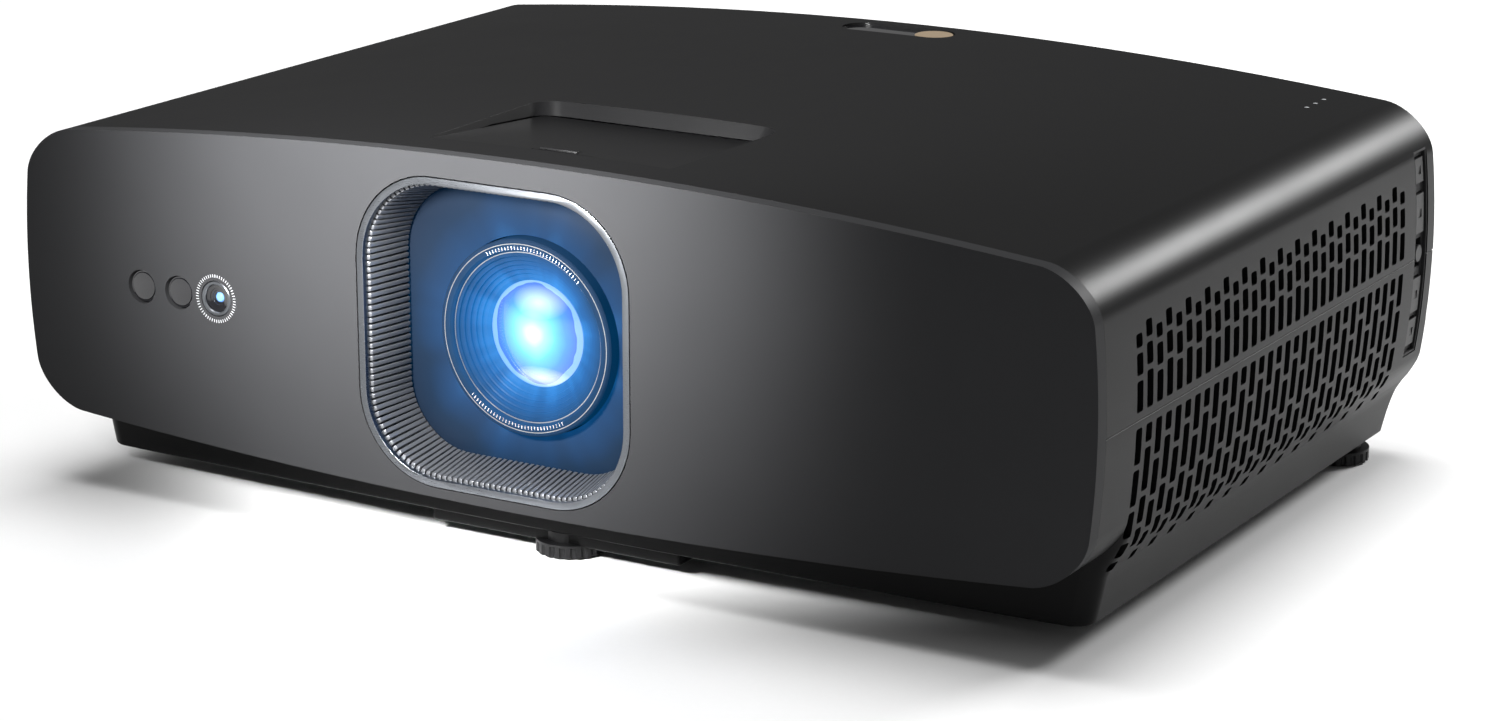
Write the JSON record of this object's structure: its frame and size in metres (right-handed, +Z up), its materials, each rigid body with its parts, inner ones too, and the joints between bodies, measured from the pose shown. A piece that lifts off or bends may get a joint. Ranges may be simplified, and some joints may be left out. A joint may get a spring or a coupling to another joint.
{
  "type": "home projector",
  "caption": "Barrel-shaped home projector with a ribbed lens opening, sliding adjustment door, shifting zoom lens, side vents, keypad and screw feet.",
  "frame": {"origin": "on the table under the middle of the projector's box", "axes": "front and lens face -Y, +Z is up, +X is the keypad side"},
  "size_m": [0.42, 0.282, 0.1405],
  "materials": {
    "case_black": "fine matte charcoal texture",
    "grille_black": "matte black",
    "fascia_graphite": "satin graphite with a soft sheen",
    "panel_black": "fine matte texture",
    "satin_silver": "satin silver",
    "funnel_grey": "satin grey, finely ribbed",
    "window_black": "gloss, infrared-clear",
    "pale_gold": "pale satin gold",
    "light_pipe": "clear",
    "bright_steel": "bright",
    "cast_alloy": "as cast",
    "inner_black": "matte black",
    "barrel_black": "satin black",
    "grip_black": "matte, grooved",
    "lens_glass": "blue anti-reflection coating",
    "clear_glass": "clear",
    "mirror_coat": "dichroic coating",
    "light_module": "metal-core board",
    "bare_aluminium": "bare",
    "board_green": "solder mask",
    "board_tan": "phenolic board",
    "socket_metal": "nickel plated",
    "cone_grey": "paper cone",
    "key_black": "soft matte",
    "foot_black": "matte, knurled",
    "sole_rubber": "matte rubber"
  },
  "bodies": {
    "case": {"top_cover": "case_black", "bottom_case": "case_black", "vent_grilles": "grille_black", "front_fascia": "fascia_graphite", "rear_panel": "panel_black", "lens_bezel": "satin_silver", "lens_funnel": "funnel_grey", "ir_windows": "window_black", "camera_ring": "satin_silver", "camera_eye": "window_black", "top_sensor_window": "window_black", "badge_disc": "pale_gold", "status_lights": "light_pipe", "case_screws": "bright_steel", "lens_mount": "cast_alloy", "shift_rods": "bright_steel", "engine_housing": "cast_alloy", "engine_cover": "cast_alloy", "prism": "clear_glass", "condenser_lenses": "clear_glass", "dichroic_mirrors": "mirror_coat", "led_modules": "light_module", "heat_sinks": "bare_aluminium", "dmd_board": "board_green", "dmd_heat_sink": "bare_aluminium", "main_board": "board_green", "rear_sockets": "socket_metal", "power_inlet": "inner_black", "power_board": "board_tan", "speaker_boxes": "inner_black", "speaker_cones": "cone_grey", "fan_frames": "inner_black", "keypad_bezel": "inner_black", "keypad_board": "board_green"},
    "door": {"lens_door": "case_black"},
    "shift_frame": {"shift_frame": "cast_alloy"},
    "lens_carriage": {"lens_carriage": "inner_black", "lens_shroud": "inner_black", "lens_barrel": "barrel_black"},
    "height_dial": {"height_dial": "grip_black"},
    "side_dial": {"side_dial": "grip_black"},
    "focus_ring": {"focus_ring": "grip_black"},
    "focus_group": {"lens_front_ring": "barrel_black", "front_lens": "lens_glass"},
    "zoom_ring": {"zoom_ring": "grip_black"},
    "zoom_group": {"zoom_lens_cell": "lens_glass"},
    "exhaust_rotor_front": {"exhaust_rotor_front": "inner_black"},
    "exhaust_rotor_rear": {"exhaust_rotor_rear": "inner_black"},
    "intake_rotor": {"intake_rotor": "inner_black"},
    "power_key": {"power_key": "key_black"},
    "menu_key": {"menu_key": "key_black"},
    "back_key": {"back_key": "key_black"},
    "source_key": {"source_key": "key_black"},
    "nav_stick": {"nav_stick": "key_black"},
    "front_foot_sole": {"front_foot_sole": "sole_rubber"},
    "front_foot_screw": {"front_foot_screw": "foot_black"},
    "right_foot_sole": {"right_foot_sole": "sole_rubber"},
    "right_foot_screw": {"right_foot_screw": "foot_black"},
    "left_foot_sole": {"left_foot_sole": "sole_rubber"},
    "left_foot_screw": {"left_foot_screw": "foot_black"}
  },
  "joints": [
    {"name": "door_slide", "type": "slide", "parent": "case", "child": "door", "axis": [0, 0.9975, -0.0704], "range_m": [0, 0.055]},
    {"name": "lens_height", "type": "slide", "parent": "case", "child": "shift_frame", "axis": [0, 0, 1], "range_m": [-0.003, 0.003]},
    {"name": "height_dial_turn", "type": "hinge", "parent": "case", "child": "height_dial", "pos_m": [-0.035, -0.064, 0.122], "axis": [0, 0, 1], "range_deg": [-175, 175]},
    {"name": "lens_side", "type": "slide", "parent": "shift_frame", "child": "lens_carriage", "axis": [1, 0, 0], "range_m": [-0.0015, 0.0015]},
    {"name": "side_dial_turn", "type": "hinge", "parent": "shift_frame", "child": "side_dial", "pos_m": [0.017, -0.064, 0.118], "axis": [0, 0, 1], "range_deg": [-175, 175]},
    {"name": "focus_turn", "type": "hinge", "parent": "lens_carriage", "child": "focus_ring", "pos_m": [-0.009, -0.1, 0.0763], "axis": [0, 1, 0], "range_deg": [-61, 61]},
    {"name": "focus_travel", "type": "slide", "parent": "lens_carriage", "child": "focus_group", "axis": [0, 1, 0], "range_m": [-0.0015, 0.0015]},
    {"name": "zoom_turn", "type": "hinge", "parent": "lens_carriage", "child": "zoom_ring", "pos_m": [-0.009, -0.08, 0.0763], "axis": [0, 1, 0], "range_deg": [-41, 21]},
    {"name": "zoom_travel", "type": "slide", "parent": "lens_carriage", "child": "zoom_group", "axis": [0, 1, 0], "range_m": [-0.008, 0.004]},
    {"name": "exhaust_spin_front", "type": "hinge", "parent": "case", "child": "exhaust_rotor_front", "pos_m": [-0.19, -0.06, 0.07], "axis": [1, 0, 0], "continuous": true},
    {"name": "exhaust_spin_rear", "type": "hinge", "parent": "case", "child": "exhaust_rotor_rear", "pos_m": [-0.19, 0.025, 0.07], "axis": [1, 0, 0], "continuous": true},
    {"name": "intake_spin", "type": "hinge", "parent": "case", "child": "intake_rotor", "pos_m": [0.19, 0, 0.07], "axis": [1, 0, 0], "continuous": true},
    {"name": "power_press", "type": "slide", "parent": "case", "child": "power_key", "axis": [-1, 0, 0], "range_m": [0, 0.0008], "stiffness_N_per_m": 500, "springref_m": -0.0006},
    {"name": "menu_press", "type": "slide", "parent": "case", "child": "menu_key", "axis": [-1, 0, 0], "range_m": [0, 0.0008], "stiffness_N_per_m": 500, "springref_m": -0.0006},
    {"name": "back_press", "type": "slide", "parent": "case", "child": "back_key", "axis": [-1, 0, 0], "range_m": [0, 0.0008], "stiffness_N_per_m": 500, "springref_m": -0.0006},
    {"name": "source_press", "type": "slide", "parent": "case", "child": "source_key", "axis": [-1, 0, 0], "range_m": [0, 0.0008], "stiffness_N_per_m": 500, "springref_m": -0.0006},
    {"name": "nav_tilt", "type": "hinge", "parent": "case", "child": "nav_stick", "pos_m": [0.202, 0.1286, 0.079], "axis": [0, 1, 0], "range_deg": [-6, 6], "stiffness_Nm_per_rad": 0.02},
    {"name": "front_foot_out", "type": "slide", "parent": "case", "child": "front_foot_sole", "axis": [0, 0, -1], "range_m": [0, 0.012]},
    {"name": "front_foot_turn", "type": "hinge", "parent": "front_foot_sole", "child": "front_foot_screw", "pos_m": [0, -0.111, 0.004], "axis": [0, 0, 1], "range_deg": [-1, 3480]},
    {"name": "right_foot_out", "type": "slide", "parent": "case", "child": "right_foot_sole", "axis": [0, 0, -1], "range_m": [0, 0.012]},
    {"name": "right_foot_turn", "type": "hinge", "parent": "right_foot_sole", "child": "right_foot_screw", "pos_m": [0.184, 0.12, 0.004], "axis": [0, 0, 1], "range_deg": [-1, 3480]},
    {"name": "left_foot_out", "type": "slide", "parent": "case", "child": "left_foot_sole", "axis": [0, 0, -1], "range_m": [0, 0.012]},
    {"name": "left_foot_turn", "type": "hinge", "parent": "left_foot_sole", "child": "left_foot_screw", "pos_m": [-0.184, 0.12, 0.004], "axis": [0, 0, 1], "range_deg": [-1, 3480]}
  ],
  "couplings": [
    {"joint": "height_dial_turn", "follows": "lens_height", "rad_per_m": 1000},
    {"joint": "side_dial_turn", "follows": "lens_side", "rad_per_m": 2000},
    {"joint": "focus_turn", "follows": "focus_travel", "rad_per_m": 698.13},
    {"joint": "zoom_turn", "follows": "zoom_travel", "rad_per_m": 87.266},
    {"joint": "front_foot_turn", "follows": "front_foot_out", "rad_per_m": 5026.5},
    {"joint": "right_foot_turn", "follows": "right_foot_out", "rad_per_m": 5026.5},
    {"joint": "left_foot_turn", "follows": "left_foot_out", "rad_per_m": 5026.5}
  ]
}
